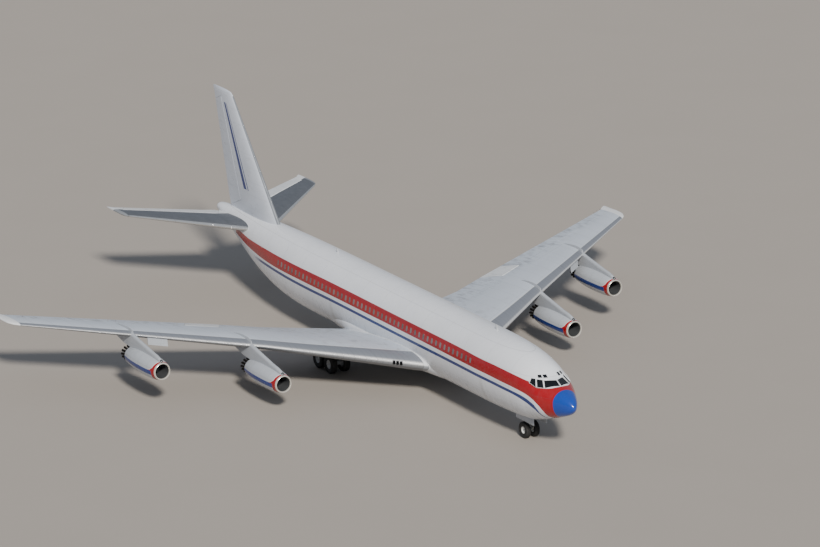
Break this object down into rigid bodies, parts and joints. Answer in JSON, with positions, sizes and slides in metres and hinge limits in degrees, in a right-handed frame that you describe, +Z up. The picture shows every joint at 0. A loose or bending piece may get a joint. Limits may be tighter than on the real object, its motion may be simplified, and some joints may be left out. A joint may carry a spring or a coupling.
{
  "type": "four-engined narrow-body airliner, 1:2 scale model",
  "caption": "Swept-wing jet airliner standing on its landing gear, with podded engines under the wings, hinged control surfaces, rolling wheels, a steered nose leg and belly doors.",
  "frame": {"origin": "on the ground under the middle of the aircraft's length, at the bottom centre of its box", "axes": "+Z up, nose towards -Y, tail towards +Y, left wing towards +X"},
  "size_m": [21.705, 23.305, 6.465],
  "materials": {
    "white_paint": "gloss paint, lightly weathered",
    "grey_paint": "semi-gloss light grey paint over aluminium skin",
    "bare_metal": "satin",
    "dark_metal": "heat-stained",
    "blue_radome": "gloss blue paint on a moulded shell",
    "dark_glass": "clear",
    "tyre": "matt"
  },
  "bodies": {
    "airframe": {"fuselage": "white_paint", "radome": "blue_radome", "cockpit_glazing": "dark_glass", "nose_gear_door_left": "white_paint", "nose_gear_door_right": "white_paint", "wing_left": "grey_paint", "wing_right": "grey_paint", "tailplane_left": "grey_paint", "tailplane_right": "grey_paint", "fin": "white_paint", "inner_pylon_left": "white_paint", "inner_pylon_right": "white_paint", "outer_pylon_left": "white_paint", "outer_pylon_right": "white_paint", "inner_cowl_left": "white_paint", "inner_cowl_right": "white_paint", "outer_cowl_left": "white_paint", "outer_cowl_right": "white_paint", "inner_engine_left": "dark_metal", "inner_engine_right": "dark_metal", "outer_engine_left": "dark_metal", "outer_engine_right": "dark_metal", "main_leg_left": "bare_metal", "main_leg_right": "bare_metal", "nose_leg": "bare_metal"},
    "belly_door_left": {"main_gear_door_left": "white_paint"},
    "belly_door_right": {"main_gear_door_right": "white_paint"},
    "inner_flap_left": {"inner_flap_left": "grey_paint"},
    "inner_flap_right": {"inner_flap_right": "grey_paint"},
    "outer_flap_left": {"outer_flap_left": "grey_paint"},
    "outer_flap_right": {"outer_flap_right": "grey_paint"},
    "inner_spoiler_left": {"inner_spoiler_left": "grey_paint"},
    "inner_spoiler_right": {"inner_spoiler_right": "grey_paint"},
    "outer_spoiler_left": {"outer_spoiler_left": "grey_paint"},
    "outer_spoiler_right": {"outer_spoiler_right": "grey_paint"},
    "inner_aileron_left": {"inner_aileron_left": "grey_paint"},
    "inner_aileron_right": {"inner_aileron_right": "grey_paint"},
    "outer_aileron_left": {"outer_aileron_left": "grey_paint"},
    "outer_aileron_right": {"outer_aileron_right": "grey_paint"},
    "elevator_left": {"elevator_left": "white_paint"},
    "elevator_right": {"elevator_right": "white_paint"},
    "rudder": {"rudder": "white_paint"},
    "nose_steering": {"nose_fork": "bare_metal"},
    "nose_wheels": {"nose_hubs": "white_paint", "nose_tyre_left": "tyre", "nose_tyre_right": "tyre"},
    "main_front_wheels_left": {"main_front_hubs_left": "bare_metal", "main_front_tyre_inner_left": "tyre", "main_front_tyre_outer_left": "tyre"},
    "main_rear_wheels_left": {"main_rear_hubs_left": "bare_metal", "main_rear_tyre_inner_left": "tyre", "main_rear_tyre_outer_left": "tyre"},
    "main_front_wheels_right": {"main_front_hubs_right": "bare_metal", "main_front_tyre_inner_right": "tyre", "main_front_tyre_outer_right": "tyre"},
    "main_rear_wheels_right": {"main_rear_hubs_right": "bare_metal", "main_rear_tyre_inner_right": "tyre", "main_rear_tyre_outer_right": "tyre"}
  },
  "joints": [
    {"name": "rudder_hinge", "type": "hinge", "parent": "airframe", "child": "rudder", "pos_m": [0, 8.83249, 3.05], "axis": [0, 0.3697, 0.9291], "range_deg": [-25, 25]},
    {"name": "elevator_left_hinge", "type": "hinge", "parent": "airframe", "child": "elevator_left", "pos_m": [0.575, 9.52073, 2.43958], "axis": [-0.871, -0.4854, -0.0766], "range_deg": [-25, 15]},
    {"name": "elevator_right_hinge", "type": "hinge", "parent": "airframe", "child": "elevator_right", "pos_m": [-0.575, 9.52073, 2.43958], "axis": [-0.871, 0.4854, 0.0766], "range_deg": [-25, 15]},
    {"name": "inner_aileron_left_hinge", "type": "hinge", "parent": "airframe", "child": "inner_aileron_left", "pos_m": [4.95, 0.99926, 1.52826], "axis": [-0.8695, -0.4858, -0.0892], "range_deg": [-20, 20]},
    {"name": "inner_aileron_right_hinge", "type": "hinge", "parent": "airframe", "child": "inner_aileron_right", "pos_m": [-4.95, 0.99926, 1.52826], "axis": [-0.8695, 0.4858, 0.0892], "range_deg": [-20, 20]},
    {"name": "outer_aileron_left_hinge", "type": "hinge", "parent": "airframe", "child": "outer_aileron_left", "pos_m": [7.9, 2.57399, 1.83409], "axis": [-0.8858, -0.4547, -0.0923], "range_deg": [-20, 20]},
    {"name": "outer_aileron_right_hinge", "type": "hinge", "parent": "airframe", "child": "outer_aileron_right", "pos_m": [-7.9, 2.57399, 1.83409], "axis": [-0.8858, 0.4547, 0.0923], "range_deg": [-20, 20]},
    {"name": "inner_flap_left_hinge", "type": "hinge", "parent": "airframe", "child": "inner_flap_left", "pos_m": [1.3, 0.09107, 0.96341], "axis": [-0.9694, -0.2081, -0.1301], "range_deg": [0, 40]},
    {"name": "inner_flap_right_hinge", "type": "hinge", "parent": "airframe", "child": "inner_flap_right", "pos_m": [-1.3, 0.09107, 0.96341], "axis": [-0.9694, 0.2081, 0.1301], "range_deg": [0, 40]},
    {"name": "outer_flap_left_hinge", "type": "hinge", "parent": "airframe", "child": "outer_flap_left", "pos_m": [6.075, 1.59131, 1.57799], "axis": [-0.8804, -0.4633, -0.1008], "range_deg": [0, 40]},
    {"name": "outer_flap_right_hinge", "type": "hinge", "parent": "airframe", "child": "outer_flap_right", "pos_m": [-6.075, 1.59131, 1.57799], "axis": [-0.8804, 0.4633, 0.1008], "range_deg": [0, 40]},
    {"name": "inner_spoiler_left_hinge", "type": "hinge", "parent": "airframe", "child": "inner_spoiler_left", "pos_m": [2.28927, -0.14763, 1.31459], "axis": [0.969, 0.208, 0.1335], "range_deg": [0, 60]},
    {"name": "inner_spoiler_right_hinge", "type": "hinge", "parent": "airframe", "child": "inner_spoiler_right", "pos_m": [-2.28927, -0.14763, 1.31459], "axis": [0.969, -0.208, -0.1335], "range_deg": [0, 60]},
    {"name": "outer_spoiler_left_hinge", "type": "hinge", "parent": "airframe", "child": "outer_spoiler_left", "pos_m": [6.31148, 1.30218, 1.78415], "axis": [0.8822, 0.4643, 0.0792], "range_deg": [0, 60]},
    {"name": "outer_spoiler_right_hinge", "type": "hinge", "parent": "airframe", "child": "outer_spoiler_right", "pos_m": [-6.31148, 1.30218, 1.78415], "axis": [0.8822, -0.4643, -0.0792], "range_deg": [0, 60]},
    {"name": "belly_door_left_hinge", "type": "hinge", "parent": "airframe", "child": "belly_door_left", "pos_m": [0.072, 0, 0.642], "axis": [0, 1, 0], "range_deg": [0, 75]},
    {"name": "belly_door_right_hinge", "type": "hinge", "parent": "airframe", "child": "belly_door_right", "pos_m": [-0.072, 0, 0.642], "axis": [0, -1, 0], "range_deg": [0, 75]},
    {"name": "nose_steering_pivot", "type": "hinge", "parent": "airframe", "child": "nose_steering", "pos_m": [0, -9.0575, 0.2475], "axis": [0, 0, 1], "range_deg": [-58, 58]},
    {"name": "nose_wheels_spin", "type": "hinge", "parent": "nose_steering", "child": "nose_wheels", "pos_m": [0, -9.0575, 0.2475], "axis": [1, 0, 0], "continuous": true},
    {"name": "main_front_wheels_left_spin", "type": "hinge", "parent": "airframe", "child": "main_front_wheels_left", "pos_m": [1.6825, -0.4225, 0.2925], "axis": [1, 0, 0], "continuous": true},
    {"name": "main_rear_wheels_left_spin", "type": "hinge", "parent": "airframe", "child": "main_rear_wheels_left", "pos_m": [1.6825, 0.2875, 0.2925], "axis": [1, 0, 0], "continuous": true},
    {"name": "main_front_wheels_right_spin", "type": "hinge", "parent": "airframe", "child": "main_front_wheels_right", "pos_m": [-1.6825, -0.4225, 0.2925], "axis": [1, 0, 0], "continuous": true},
    {"name": "main_rear_wheels_right_spin", "type": "hinge", "parent": "airframe", "child": "main_rear_wheels_right", "pos_m": [-1.6825, 0.2875, 0.2925], "axis": [1, 0, 0], "continuous": true}
  ]
}
